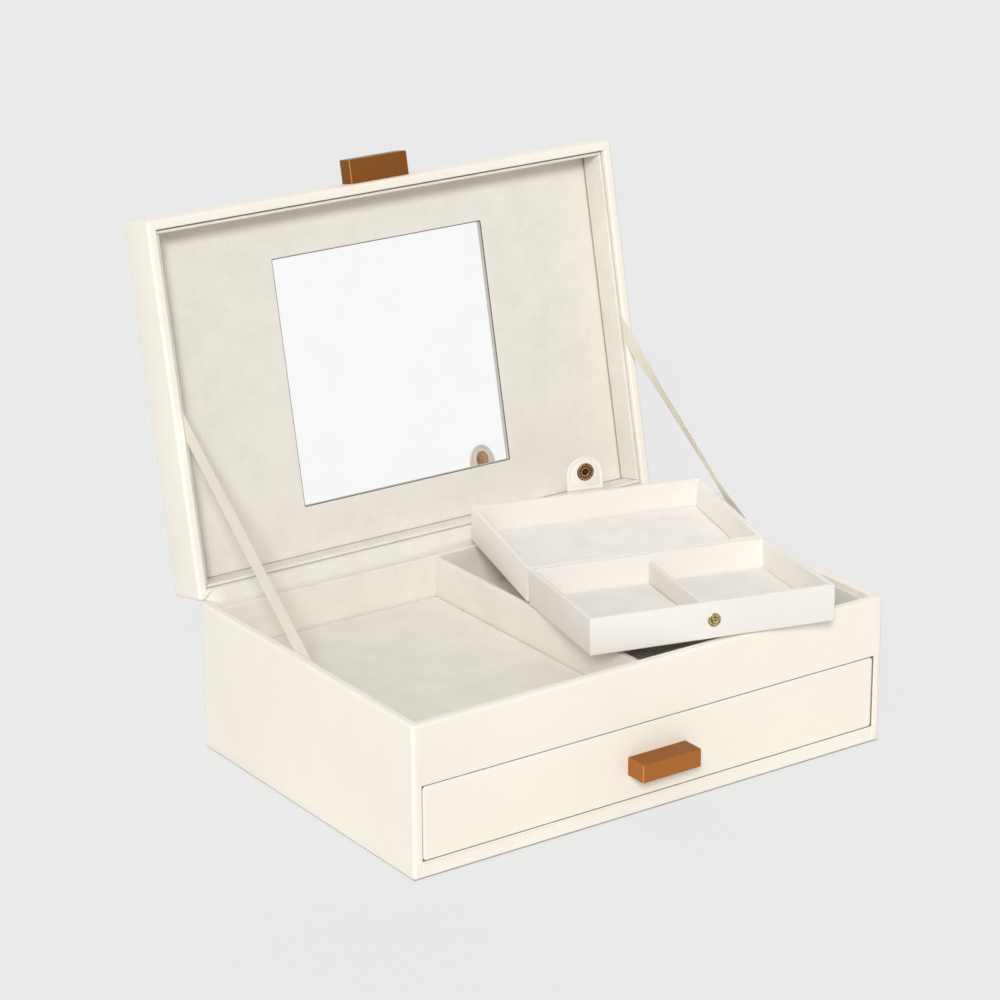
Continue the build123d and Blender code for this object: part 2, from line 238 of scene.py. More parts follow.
def leatherette(name, colour, grain, roughness, relief=0.25, gloss=0.26, worn=None):
    """Smooth coated leather: fine pebbled grain with painted shade in its creases, slight tone changes, a soft
    sheen, painted shade where it is marked, and, where a worn colour is given, worn edges and a darker marked
    side.
    """
    material, tree, shader, coords = new_material(name)
    tone = noise_node(tree, coords, TONE_PATCH, 4.0)
    base = ramp(tree, tone, [(0.3, shade(colour, 0.972)), (0.7, shade(colour, 1.012))])
    pores = cells_node(tree, coords, grain)
    # Painted shade: the grain's creases are drawn a little darker in colour
    crease_shade = ramp(tree, pores, [(0.0, (0.94, 0.935, 0.92)), (0.12, WHITE)])
    finish = blend_colours(tree, 0.6, base, crease_shade, "MULTIPLY")
    # Painted shade: darker where the piece is marked, in the gaps round the drawer
    finish = blend_colours(tree, mark_node(tree, "shade_paint"), finish, LEATHER_SHADE_PAINT)
    if worn:
        # Darker on the marked side of a pull, its top as it stands
        finish = blend_colours(tree, mark_node(tree, "darker_side"), finish, shade(colour, DARKER_SIDE_TONE))
        finish = blend_colours(tree, mark_node(tree, "worn"), finish, worn)
    tree.links.new(finish, shader.inputs["Base Color"])
    wear = noise_node(tree, coords, WEAR_PATCH)
    tree.links.new(to_range(tree, wear, roughness - 0.05, roughness + 0.07), shader.inputs["Roughness"])
    sway = bump(tree, noise_node(tree, coords, SWAY_SIZE, 2.0), SWAY_DEPTH, 0.2)
    tree.links.new(bump(tree, pores, GRAIN_DEPTH, relief, sway), shader.inputs["Normal"])
    shader.inputs["Specular IOR Level"].default_value = gloss
    return material


def suede(name, colour):
    """Napped lining: cloudy brushed patches, fine fibre speckle, no gloss, painted shade where it is marked."""
    material, tree, shader, coords = new_material(name)
    clouds = noise_node(tree, coords, NAP_SIZE, 5.0, 0.62)
    base = ramp(tree, clouds, [(0.34, shade(colour, 0.96)), (0.5, colour), (0.68, shade(colour, 1.025))])
    fibres = noise_node(tree, coords, FIBRE_SIZE, 2.0)
    speckle = ramp(tree, fibres, [(0.3, (0.92, 0.915, 0.905)), (0.65, WHITE)])
    napped = blend_colours(tree, 0.7, base, speckle, "MULTIPLY")
    # Painted shade: dark where the piece is marked, along the mirror's window and the liners' joins
    finish = blend_colours(tree, mark_node(tree, "shade_paint"), napped, SUEDE_SHADE_PAINT)
    tree.links.new(finish, shader.inputs["Base Color"])
    shader.inputs["Roughness"].default_value = 0.92
    shader.inputs["Specular IOR Level"].default_value = 0.12
    shader.inputs["Sheen Weight"].default_value = 0.12
    shader.inputs["Sheen Roughness"].default_value = 0.6
    soft = bump(tree, clouds, NAP_DEPTH, 0.12)
    tree.links.new(bump(tree, fibres, FIBRE_DEPTH, 0.35, soft), shader.inputs["Normal"])
    return material


def woven(name, colour, slope):
    """Flat satin ribbon: close cross threads square to its run, which climbs by the given slope."""
    material, tree, shader, coords = new_material(name)
    along = tree.nodes.new("ShaderNodeMapping")
    along.inputs["Rotation"].default_value = (-slope, 0, 0)
    tree.links.new(coords, along.inputs["Vector"])
    threads = tree.nodes.new("ShaderNodeTexWave")
    threads.bands_direction = "Y"
    threads.inputs["Scale"].default_value = 1 / THREAD_PITCH / math.tau
    threads.inputs["Distortion"].default_value = 0.6
    tree.links.new(along.outputs["Vector"], threads.inputs["Vector"])
    weave = threads.outputs["Fac"]
    base = ramp(tree, weave, [(0.1, shade(colour, 0.975)), (0.8, shade(colour, 1.01))])
    patches = noise_node(tree, coords, WEAR_PATCH)
    tone = ramp(tree, patches, [(0.3, (0.97, 0.965, 0.955)), (0.7, WHITE)])
    tree.links.new(blend_colours(tree, 1.0, base, tone, "MULTIPLY"), shader.inputs["Base Color"])
    shader.inputs["Roughness"].default_value = 0.55
    shader.inputs["Sheen Weight"].default_value = 0.1
    tree.links.new(bump(tree, weave, THREAD_DEPTH, 0.2), shader.inputs["Normal"])
    return material


def metal(name, colour, tarnish, roughness):
    """Plated metal: tarnish where it is painted and in small spots, fine scratches."""
    material, tree, shader, coords = new_material(name)
    spots = noise_node(tree, coords, SPOT_SIZE, 4.0)
    base = ramp(tree, spots, [(0.38, blended(colour, tarnish, SPOT_TARNISH_SHARE)), (0.55, colour)])
    aged = blend_colours(tree, mark_node(tree, "tarnish"), base, tarnish)
    tree.links.new(aged, shader.inputs["Base Color"])
    shader.inputs["Metallic"].default_value = 1.0
    tree.links.new(to_range(tree, spots, roughness + 0.12, roughness - 0.06), shader.inputs["Roughness"])
    scratches = noise_node(tree, coords, SCRATCH_SIZE)
    tree.links.new(bump(tree, scratches, SCRATCH_DEPTH, 0.25), shader.inputs["Normal"])
    return material


def mirror_glass(name):
    """Silvered glass with a faint unevenness."""
    material, tree, shader, coords = new_material(name)
    haze = noise_node(tree, coords, HAZE_SIZE, 2.0)
    tint = ramp(tree, haze, [(0.2, (0.955, 0.96, 0.955)), (0.8, (0.975, 0.978, 0.975))])
    tree.links.new(tint, shader.inputs["Base Color"])
    shader.inputs["Metallic"].default_value = 1.0
    tree.links.new(to_range(tree, haze, 0.015, 0.04), shader.inputs["Roughness"])
    return material


def fibre_board(name, colour):
    """Raw pressed board: short fibres and specks."""
    material, tree, shader, coords = new_material(name)
    fibres = noise_node(tree, coords, BOARD_FIBRE_SIZE, 6.0, 0.7)
    base = ramp(tree, fibres, [(0.3, shade(colour, 0.82)), (0.55, colour), (0.75, shade(colour, 1.12))])
    tree.links.new(base, shader.inputs["Base Color"])
    shader.inputs["Roughness"].default_value = 0.85
    tree.links.new(bump(tree, fibres, BOARD_FIBRE_DEPTH, 0.3), shader.inputs["Normal"])
    return material


def felt(name, colour):
    """Pressed felt: tangled fibres, matte."""
    material, tree, shader, coords = new_material(name)
    tangle = noise_node(tree, coords, FELT_FIBRE_SIZE, 5.0, 0.7)
    base = ramp(tree, tangle, [(0.35, shade(colour, 0.7)), (0.7, shade(colour, 1.25))])
    tree.links.new(base, shader.inputs["Base Color"])
    shader.inputs["Roughness"].default_value = 0.95
    tree.links.new(bump(tree, tangle, FELT_FIBRE_DEPTH, 0.5), shader.inputs["Normal"])
    return material


def ribbon_slope(node):
    """Angle by which a ribbon climbs towards the back."""
    low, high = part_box(node)
    front_corner = min(nodes[node].data.vertices, key=lambda v: v.co.y).co
    return math.atan2(high.z - front_corner.z, high.y - low.y)


SKIN_GRAIN = {"grain": 0.9 * MM, "roughness": 0.6}
CASE_GRAIN = {"grain": 0.8 * MM, "roughness": 0.58, "relief": 0.18}
PULL_GRAIN = {"grain": 0.7 * MM, "roughness": 0.5, "relief": 0.4, "gloss": 0.16}
BRASS_ROUGHNESS, STEEL_ROUGHNESS = 0.26, 0.3

MATERIALS = {
    "ivory_leatherette": leatherette("ivory_leatherette", IVORY, **SKIN_GRAIN),
    "case_leatherette": leatherette("case_leatherette", CASE_WHITE, **CASE_GRAIN),
    "tan_leather": leatherette("tan_leather", TAN, **PULL_GRAIN, worn=TAN_EDGE),
    "brown_leather": leatherette("brown_leather", BROWN, **PULL_GRAIN, worn=BROWN_EDGE),
    "suede": suede("suede", SUEDE_WHITE),
    "case_suede": suede("case_suede", CASE_SUEDE_WHITE),
    "ribbon": woven("ribbon", RIBBON_CREAM, ribbon_slope("left_ribbon")),
    "felt": felt("felt", FELT_GREY),
    "board": fibre_board("board", BOARD_BROWN),
    "card": fibre_board("card", CARD_GREY),
    "mirror": mirror_glass("mirror"),
    "antique_brass": metal("antique_brass", ANTIQUE_BRASS, ANTIQUE_TARNISH, BRASS_ROUGHNESS),
    "pale_brass": metal("pale_brass", PALE_BRASS, PALE_TARNISH, BRASS_ROUGHNESS),
    "screw_steel": metal("screw_steel", STEEL, STEEL_TARNISH, STEEL_ROUGHNESS),
}


# Mesh helpers
LEAST_CORNER = 0.25 * MM
BOARD_SHRINK = 0.05 * MM
BOARD_EDGE = 0.5 * MM
MOST_EDGE_SHARE = 0.8  # of a thin board's half thickness
CROWN_REACH, CROWN_STEPS = 9 * MM, 4


def rounded_loop(half_x, half_y, radius, per_corner, extra_x=()):
    """Points of a rounded rectangle, anticlockwise, with extra points at given x on the sides along x."""
    radius = min(radius, half_x, half_y)
    loop = []
    for corner in range(4):
        sign_x = 1 if corner in (0, 3) else -1
        sign_y = 1 if corner in (0, 1) else -1
        for step in range(per_corner + 1):
            angle = math.radians(90) * (corner + step / per_corner)
            x = sign_x * (half_x - radius) + radius * math.cos(angle)
            y = sign_y * (half_y - radius) + radius * math.sin(angle)
            loop.append((x, y))
        if corner in (0, 2):
            side = sorted(extra_x, reverse=corner == 0)
            loop += [(x, sign_y * half_y) for x in side]
    return loop


def round_over(inset, level, radius, start, stop, steps=5):
    """Profile points (inset, level) on an arc; angles are in degrees from the outward direction."""
    points = []
    for step in range(steps + 1):
        angle = math.radians(start + (stop - start) * step / steps)
        points.append((inset - radius * math.cos(angle), level + radius * math.sin(angle)))
    return points


def make_object(name, mesh_builder, slot, body=None, replaces=(), place=AT_REST, sharp=35.0):
    """Finishes a bmesh as a named piece with its material, its body and the nodes it stands for."""
    mesh = bpy.data.meshes.new(name)
    bmesh.ops.recalc_face_normals(mesh_builder, faces=mesh_builder.faces)
    mesh_builder.transform(place)
    mesh_builder.to_mesh(mesh)
    mesh_builder.free()
    mesh.shade_smooth()
    mesh.set_sharp_from_angle(angle=math.radians(sharp))
    mesh.materials.append(MATERIALS[slot])
    piece = bpy.data.objects.new(name, mesh)
    bpy.context.scene.collection.objects.link(piece)
    if replaces:
        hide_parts(*replaces)
    if body:
        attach(piece, body)
    return piece


def loft(loops, cap_first=False, cap_last=False):
    """A bmesh skinned through closed loops of 3-D points with equal counts."""
    builder = bmesh.new()
    rows = [[builder.verts.new(point) for point in loop] for loop in loops]
    count = len(rows[0])
    for row, following in zip(rows, rows[1:]):
        for i in range(count):
            j = (i + 1) % count
            builder.faces.new((row[i], row[j], following[j], following[i]))
    if cap_first:
        builder.faces.new(rows[0])
    if cap_last:
        builder.faces.new(rows[-1])
    return builder


def facing_front(y, z):
    """A place in the middle of the box whose own Z looks to the front and whose own Y looks up."""
    return Matrix.Translation((0, y, z)) @ Matrix.Rotation(math.radians(90), 4, "X")


def wrapped(half_x, half_y, profile, corner, per_corner=5, extra_x=(), caps=(True, True), stretch_x=1.0):
    """A rounded rectangle carried along a profile of (inset, level) pairs.
    stretch_x widens the insets in x."""
    loops = []
    for inset, level in profile:
        radius = max(corner - inset, LEAST_CORNER)
        outline = rounded_loop(half_x - inset * stretch_x, half_y - inset, radius, per_corner, extra_x)
        loops.append([(x, y, level) for x, y in outline])
    return loft(loops, *caps)


def slab_profile(bottom, top, edge, steps=3):
    """Profile of a slab whose upper and lower edges are rounded."""
    profile = round_over(edge, bottom + edge, edge, -90, 0, steps)
    return profile + round_over(edge, top - edge, edge, 0, 90, steps)


def soft_board(name, node, body, slot, place=AT_REST, edge=BOARD_EDGE, trim=0, crown=0):
    """A covered board in a node's place: rounded edges, its top cut down by a trim or crowned."""
    low, high = local_box(node, place)
    high.z -= trim
    size = (high - low) / 2
    middle = (high + low) / 2
    thin = min(range(3), key=lambda i: size[i])
    order = [i for i in range(3) if i != thin] + [thin]
    edge = min(edge, size[thin] * MOST_EDGE_SHARE)
    half = [size[i] - BOARD_SHRINK for i in order]
    profile = slab_profile(-half[2], half[2], edge)
    if crown:
        for step in range(1, CROWN_STEPS + 1):
            rise = crown * math.sin(math.pi / 2 * step / CROWN_STEPS)
            profile.append((edge + CROWN_REACH * step / CROWN_STEPS, half[2] + rise))
    builder = wrapped(half[0], half[1], profile, edge)
    for vert in builder.verts:
        co = Vector((0, 0, 0))
        for k, i in enumerate(order):
            co[i] = vert.co[k]
        vert.co = middle + co
    piece = make_object(name, builder, slot, body, [node], place)
    return piece


def lathe(profile, segments=40):
    """A bmesh turned about the local Z axis from (radius, level, tarnish) rows; a zero radius closes it."""
    builder = bmesh.new()
    tarnish = builder.verts.layers.float.new("tarnish")
    rings = []
    for radius, level, aged in profile:
        turns = [math.tau * k / segments for k in range(segments if radius else 1)]
        ring = [builder.verts.new((radius * math.cos(t), radius * math.sin(t), level)) for t in turns]
        for vert in ring:
            vert[tarnish] = aged
        rings.append(ring)
    for ring, following in zip(rings, rings[1:]):
        for i in range(segments):
            j = (i + 1) % segments
            corners = [ring[i % len(ring)], ring[j % len(ring)], following[j % len(following)]]
            corners.append(following[i % len(following)])
            unique = list(dict.fromkeys(corners))
            if len(unique) > 2:
                builder.faces.new(unique)
    return builder


def strip(path, half_width, thickness, directions, columns=1):
    """A flat strip: path points carried sideways, each along its own direction, with a thickness."""
    builder = bmesh.new()
    rows = []
    count = len(path)
    for k, (point, along) in enumerate(zip(path, directions)):
        ahead = path[min(k + 1, count - 1)] - path[max(k - 1, 0)]
        normal = along.cross(ahead).normalized()
        row = []
        for side in (-0.5, 0.5):
            for column in range(columns + 1):
                across = along * half_width * (2 * column / columns - 1)
                row.append(builder.verts.new(point + across + normal * thickness * side))
        half = columns + 1
        rows.append(row[:half] + row[half:][::-1])
    for row, following in zip(rows, rows[1:]):
        ring = len(row)
        for i in range(ring):
            j = (i + 1) % ring
            builder.faces.new((row[i], row[j], following[j], following[i]))
    builder.faces.new(rows[0])
    builder.faces.new(rows[-1])
    return builder


# Outer skins
RIM_ROUND = 1.5 * MM
RIM_INNER_ROUND = 0.7 * MM
UPRIGHT_ROUND = 2.0 * MM
LID_TOP_ROUND = 1.8 * MM
FOOT_ROUND = 0.4 * MM
TURN_IN = 9 * MM
SKIN_LIFT = 0.06 * MM
OPENING_EDGE = 0.35 * MM
JAMB_TURN = 0.9 * MM
SEAM_WIDTH, SEAM_DEPTH, SEAM_DROP = 0.35 * MM, 0.35 * MM, 1.0 * MM
SAME_PLACE = 0.01 * MM
FACE_EDGE, FACE_TURN, FACE_CORNER = 0.6 * MM, 0.4 * MM, 1.8 * MM
FACE_END_STRETCH = 3.0
# Painted shade: a dark line on the drawer front's sides just behind its rounded front edge, for the shade in the
# gap
SHADE_LINE_SETBACK, SHADE_LINE_WIDTH, SHADE_LINE_FADE = 0.3 * MM, 1.3 * MM, 0.8 * MM

base_low, base_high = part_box("base_cover")
inner_half_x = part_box("shelf_board")[1].x
WALL = base_high.x - inner_half_x + SKIN_LIFT
opening_half_x = base_high.x - WALL
opening_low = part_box("bottom_board")[1].z + SKIN_LIFT
opening_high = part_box("shelf_board")[0].z - (base_high.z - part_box("front_panel")[1].z) - SKIN_LIFT


def rim_profile(level, sign):
    """Over a rim from inside to outside, as insets and levels; sign 1 is a rim that looks up."""
    inner = round_over(WALL - RIM_INNER_ROUND, -RIM_INNER_ROUND, RIM_INNER_ROUND, 180, 90)
    outer = round_over(RIM_ROUND, -RIM_ROUND, RIM_ROUND, 90, 0)
    return [(inset, level + sign * rise) for inset, rise in inner + outer]


def front_faces(builder, low, high, half_x):
    """Faces of the base's front between two levels, no farther out than half_x."""
    found = []
    for face in builder.faces:
        levels = [vert.co.z for vert in face.verts]
        inside = max(abs(vert.co.x) for vert in face.verts) < half_x + SAME_PLACE
        in_front = max(vert.co.y for vert in face.verts) < -base_high.y + SAME_PLACE
        between = min(levels) > low - SAME_PLACE and max(levels) < high + SAME_PLACE
        if inside and in_front and between:
            found.append(face)
    return found


def cut_seams(builder):
    """Short grooves from the opening's lower corners down to the foot."""
    top = opening_low - SEAM_DROP
    for seam in (-opening_half_x, opening_half_x):
        for step in (-SEAM_WIDTH, SEAM_WIDTH):
            faces = front_faces(builder, base_low.z, top, base_high.x)
            geom = set(faces)
            for face in faces:
                geom.update(face.edges, face.verts)
            line = (seam + step, 0, 0)
            bmesh.ops.bisect_plane(builder, geom=list(geom), plane_co=line, plane_no=(1, 0, 0))
        for vert in builder.verts:
            near = abs(vert.co.x - seam) < SEAM_WIDTH / 2
            if near and vert.co.y < -base_high.y / 2 and vert.co.z < top + SEAM_WIDTH / 2:
                vert.co.y += SEAM_DEPTH


def base_skin():
    """Leatherette round the base, turned in over the rim, under the bottom and round the drawer opening."""
    profile = [(WALL, base_high.z - TURN_IN)] + rim_profile(base_high.z, 1)
    profile += [(0, opening_high), (0, opening_low), (0, opening_low - SEAM_DROP)]
    profile += round_over(FOOT_ROUND, base_low.z + FOOT_ROUND, FOOT_ROUND, 0, -90, 3)
    profile += [(TURN_IN, base_low.z)]
    jambs = (-opening_half_x, opening_half_x)
    builder = wrapped(base_high.x, base_high.y, profile, UPRIGHT_ROUND, extra_x=jambs, caps=(False, False))
    holes = front_faces(builder, opening_low, opening_high, opening_half_x)
    border = [e for f in holes for e in f.edges if sum(g in holes for g in e.link_faces) == 1]
    bmesh.ops.delete(builder, geom=holes, context="FACES_ONLY")
    grown = bmesh.ops.extrude_edge_only(builder, edges=border)
    turned = [item for item in grown["geom"] if isinstance(item, bmesh.types.BMVert)]
    bmesh.ops.translate(builder, verts=turned, vec=(0, JAMB_TURN, 0))
    bmesh.ops.bevel(builder, geom=border, offset=OPENING_EDGE, segments=4, profile=0.5, affect="EDGES")
    # Painted shade: the jamb's turned-in back edge round the opening is painted dark, so the gaps round the drawer
    # read as shaded
    painted = builder.verts.layers.float.new("shade_paint")
    for vert in builder.verts:
        deep = abs(vert.co.y - (JAMB_TURN - base_high.y)) < SKIN_LIFT
        vert[painted] = 1.0 if deep and vert.co.z < opening_high + SKIN_LIFT else 0.0
    cut_seams(builder)
    return make_object("base_skin", builder, "ivory_leatherette", "carcass", ["base_cover"])


def lid_skin():
    """Leatherette over the lid, turned in over its rim."""
    low, high = local_box("lid_cover", LID_PLACE)
    profile = [(WALL, low.z + TURN_IN)] + rim_profile(low.z, -1)
    profile += round_over(LID_TOP_ROUND, high.z - LID_TOP_ROUND, LID_TOP_ROUND, 0, 90)
    builder = wrapped(high.x, high.y, profile, UPRIGHT_ROUND, caps=(False, True))
    return make_object("lid_skin", builder, "ivory_leatherette", "lid", ["lid_cover"], LID_PLACE)


def drawer_face():
    """Leatherette over the drawer front, rounder at its two ends, with painted shade in a line behind its front,
    where the gap to the opening falls.
    """
    low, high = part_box("drawer_front_cover")
    half_x, half_z, depth = high.x, (high.z - low.z) / 2, high.y - low.y
    shade_line_front = depth - FACE_EDGE - SHADE_LINE_SETBACK
    shade_line_back = shade_line_front - SHADE_LINE_WIDTH
    profile = [(FACE_TURN, 0), (0, FACE_TURN), (0, shade_line_back - SHADE_LINE_FADE)]
    profile += [(0, shade_line_back), (0, shade_line_front)]
    profile += round_over(FACE_EDGE, depth - FACE_EDGE, FACE_EDGE, 0, 90, 7)
    place = facing_front(high.y, (low.z + high.z) / 2)
    builder = wrapped(half_x, half_z, profile, FACE_CORNER, stretch_x=FACE_END_STRETCH)
    # Painted shade: the line behind the front edge that shows through the gap
    painted = builder.verts.layers.float.new("shade_paint")
    for vert in builder.verts:
        in_shade_line = shade_line_back - SKIN_LIFT < vert.co.z < shade_line_front + SKIN_LIFT
        vert[painted] = 1.0 if in_shade_line else 0.0
    return make_object("drawer_face", builder, "ivory_leatherette", "drawer", ["drawer_front_cover"], place)


base_skin()
lid_skin()
drawer_face()

# Lining
PANEL_GAP = 0.4 * MM
FLOOR_EDGE, FLOOR_CROWN = 0.9 * MM, 0.25 * MM
DRAWER_SIDE_EDGE = 0.8 * MM
DRAWER_PAD_EDGE, DRAWER_PAD_CROWN = 0.7 * MM, 0.2 * MM
SHEET_DROP, SHEET_THICK, SHEET_CORNER = 1.6 * MM, 0.4 * MM, 0.6 * MM
SHEET_EDGE_SHARE = 0.4

for liner in ("front_liner", "back_liner", "left_liner", "right_liner", "partition"):
    soft_board(liner + "_suede", liner, "carcass", "suede")
for pad in ("left_floor_pad", "right_floor_pad"):
    soft_board(pad + "_suede", pad, "carcass", "suede", edge=FLOOR_EDGE, crown=FLOOR_CROWN)
for liner in ("lid_front_liner", "lid_back_liner", "lid_left_liner", "lid_right_liner"):
    soft_board(liner + "_suede", liner, "lid", "suede", LID_PLACE, trim=PANEL_GAP)
for side in ("drawer_left_side", "drawer_right_side", "drawer_back"):
    soft_board(side + "_suede", side, "drawer", "suede", edge=DRAWER_SIDE_EDGE)
soft_board(
    "drawer_pad_suede", "drawer_pad", "drawer", "suede", edge=DRAWER_PAD_EDGE, crown=DRAWER_PAD_CROWN
)


def drawer_front_lining():
    """Suede sheet on the inner face of the drawer front, from the pad to just below its top."""
    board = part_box("drawer_front")[1]
    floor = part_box("drawer_pad")[1].z
    top = board.z - SHEET_DROP
    half_x, half_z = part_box("drawer_bottom")[1].x, (top - floor) / 2
    profile = slab_profile(0, SHEET_THICK, SHEET_THICK * SHEET_EDGE_SHARE)
    builder = wrapped(half_x, half_z, profile, SHEET_CORNER)
    place = facing_front(board.y + SHEET_THICK, (top + floor) / 2)
    return make_object("drawer_front_lining", builder, "suede", "drawer", (), place)


drawer_front_lining()


JOIN_LINE, JOIN_FADE, JOIN_SHADE = 0.12 * MM, 0.25 * MM, 0.5
PANEL_CORNER, WINDOW_CORNER = 0.25 * MM, 0.5 * MM
WINDOW_LAP, WINDOW_ROLL = 2.0 * MM, 0.6 * MM
WINDOW_WALL_SHADE = 0.5
# The window's rolled edge: distance from the window and depth as shares of the roll,
# how much larger the corner is than the window's, and how much painted shade it carries
ROLL_SHARES = [
    (2.0, 0.0, 0.8, 0.0),
    (1.0, 0.0, 0.6, 0.0),
    (0.8, 0.1, 0.4, 0.9),
    (0.3, 0.3, 0.2, 1.0),
    (0.0, 1.0, 0.0, WINDOW_WALL_SHADE),
]


def lid_window_panel():
    """Suede panel of the lid with the mirror's window, with painted shade along the window's edge and where the
    liners stand.
    """
    low, high = local_box("lid_panel", LID_PLACE)
    join_x = local_box("lid_right_liner", LID_PLACE)[0].x
    join_y = local_box("lid_back_liner", LID_PLACE)[0].y
    glass_high = local_box("mirror", LID_PLACE)[1]
    window_x, window_y = glass_high.x - WINDOW_LAP, glass_high.y - WINDOW_LAP
    front, back = low.z, high.z
    faded = JOIN_LINE + JOIN_FADE
    rows = [
        (high.x, high.y, back, PANEL_CORNER, 0),
        (high.x, high.y, front, PANEL_CORNER, JOIN_SHADE),
        (join_x - JOIN_LINE, join_y - JOIN_LINE, front, PANEL_CORNER, JOIN_SHADE),
        (join_x - faded, join_y - faded, front, PANEL_CORNER, 0),
    ]
    for away_share, depth_share, corner_share, dark in ROLL_SHARES:
        away, level = WINDOW_ROLL * away_share, front + WINDOW_ROLL * depth_share
        rows.append((window_x + away, window_y + away, level, WINDOW_CORNER * (1 + corner_share), dark))
    rows.append((window_x, window_y, back, WINDOW_CORNER, WINDOW_WALL_SHADE))
    loops = [[(x, y, z) for x, y in rounded_loop(hx, hy, corner, 4)] for hx, hy, z, corner, dark in rows]
    builder = loft(loops)
    # Painted shade: each row's darkness, along the window's edge and where the liners stand
    painted = builder.verts.layers.float.new("shade_paint")
    for index, vert in enumerate(builder.verts):
        vert[painted] = rows[index // len(loops[0])][-1]
    return make_object("lid_panel_suede", builder, "suede", "lid", ["lid_panel"], LID_PLACE)


lid_window_panel()


# Pulls
PULL_EDGE = 0.5 * MM
PULL_FLAT = 0.3 * MM
WEAR_START, WEAR_SPAN, LEAST_WEAR = 0.5, 0.4, 0.08
RUBBED_FACING = 0.3
DARKER_SIDE_START, DARKER_SIDE_SPAN = 0.5, 0.4
# Directions in a pull's own frame, with the lid shut
FRONTWARD, UPWARD, DOWNWARD = Vector((0, 0, 1)), Vector((0, 1, 0)), Vector((0, -1, 0))


def through(value, start, span):
    """How far a value is through a span, from 0 to 1."""
    return min(1.0, max(0.0, (value - start) / span))


def wrapped_pull(name, node, body, slot, place, worn_side, darkened_side):
    """Block wrapped in leather: crisp rounded edges, pale where the ends meet the side worn most,
    darker on the given side, the pull's top as it stands."""
    low, high = local_box(node, place)
    half_x, half_z = (high.x - low.x) / 2, (high.z - low.z) / 2
    reach = high.y - low.y
    profile = [(0, 0), (0, PULL_EDGE), (0, reach - PULL_EDGE - PULL_FLAT)]
    profile += round_over(PULL_EDGE, reach - PULL_EDGE, PULL_EDGE, 0, 90, 4)
    profile += [(PULL_EDGE + PULL_FLAT, reach)]
    builder = wrapped(half_x, half_z, profile, PULL_EDGE, per_corner=4)
    worn = builder.verts.layers.float.new("worn")
    darker_side = builder.verts.layers.float.new("darker_side")
    builder.normal_update()
    for vert in builder.verts:
        endwise = abs(vert.normal.x)
        turned = 2 * endwise * math.sqrt(max(0.0, 1 - endwise * endwise))
        wear = through(turned, WEAR_START, WEAR_SPAN)
        rubbed = vert.normal.dot(worn_side) > RUBBED_FACING
        vert[worn] = 0.0 if vert.co.z < PULL_EDGE else wear * (1.0 if rubbed else LEAST_WEAR)
        vert[darker_side] = through(vert.normal.dot(darkened_side), DARKER_SIDE_START, DARKER_SIDE_SPAN)
    lay = facing_front(high.y, (low.z + high.z) / 2)
    return make_object(name, builder, slot, body, [node], place @ lay)


wrapped_pull("drawer_pull_wrap", "drawer_pull", "drawer", "tan_leather", AT_REST, FRONTWARD, UPWARD)
wrapped_pull("lid_pull_wrap", "lid_pull", "lid", "brown_leather", LID_PLACE, DOWNWARD, FRONTWARD)


# Ribbon stays and hinge band
RIBBON_STEPS, RIBBON_COLUMNS = 64, 6
SIDEWAYS = Vector((1, 0, 0))
# How far along it a twisted ribbon starts to turn, is turned most, eases, and lies flat again
TWIST_PLACES = (0.12, 0.32, 0.66, 0.88)
TWIST_EASED_SHARE = 0.76
RIGHT_TWIST_DEG = -26


def twist_at(share, twist):
    """Turn of a ribbon at a share of its length."""
    start, most, eased, end = TWIST_PLACES

    def smooth(low, high):
        t = through(share, low, high - low)
        return t * t * (3 - 2 * t)

    lost = (1 - TWIST_EASED_SHARE) * smooth(most, eased)
    return twist * smooth(start, most) * (1 - lost) * (1 - smooth(eased, end))


def ribbon(name, node, twist):
    """Ribbon between the base and the lid, turned between its ends."""
    low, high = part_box(node)
    corners = sorted((v.co for v in nodes[node].data.vertices), key=lambda co: co.y)
    middle = len(corners) // 2
    start = sum(corners[:middle], Vector()) / middle
    end = sum(corners[middle:], Vector()) / (len(corners) - middle)
    run = end - start
    across = SIDEWAYS.cross(run).normalized()
    edges = [(co - start).dot(across) for co in corners]
    half_width = (max(edges) - min(edges)) / 2
    shares = [k / RIBBON_STEPS for k in range(RIBBON_STEPS + 1)]
    path = [start + run * share for share in shares]
    directions = [Matrix.Rotation(twist_at(share, twist), 3, run) @ across for share in shares]
    builder = strip(path, half_width, high.x - low.x, directions, RIBBON_COLUMNS)
    piece = make_object(name, builder, "ribbon", None, [node])
    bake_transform(piece)
    return piece


ribbon("left_ribbon_strap", "left_ribbon", twist=0.0)
ribbon("right_ribbon_strap", "right_ribbon", twist=math.radians(RIGHT_TWIST_DEG))


def rounded_path(points, reach, steps=6):
    """The points joined by straight runs, each corner rounded off over a reach."""
    path = [points[0]]
    for before, corner, after in zip(points, points[1:], points[2:]):
        start = corner + (before - corner).normalized() * reach
        end = corner + (after - corner).normalized() * reach
        for k in range(steps + 1):
            t = k / steps
            path.append(start * (1 - t) ** 2 + corner * 2 * t * (1 - t) + end * t * t)
    return path + [points[-1]]


BAND_THICK, BAND_COLUMNS = 0.3 * MM, 60
BAND_LIFT = 0.5 * MM
BAND_CLEAR = 0.15 * MM
BAND_BEND = 1.2 * MM
BAND_END_REACH, BAND_END_SHARE = 1.5 * MM, 0.85
SPINE_REACH = 7 * MM
SPINE_FREE = 1.0 * MM
SPINE_THICK, SPINE_CLEAR = 0.4 * MM, 0.05 * MM
SPINE_STEPS, SPINE_COLUMNS = 5, 40
lid_rim_z = local_box("lid_cover", LID_PLACE)[0].z


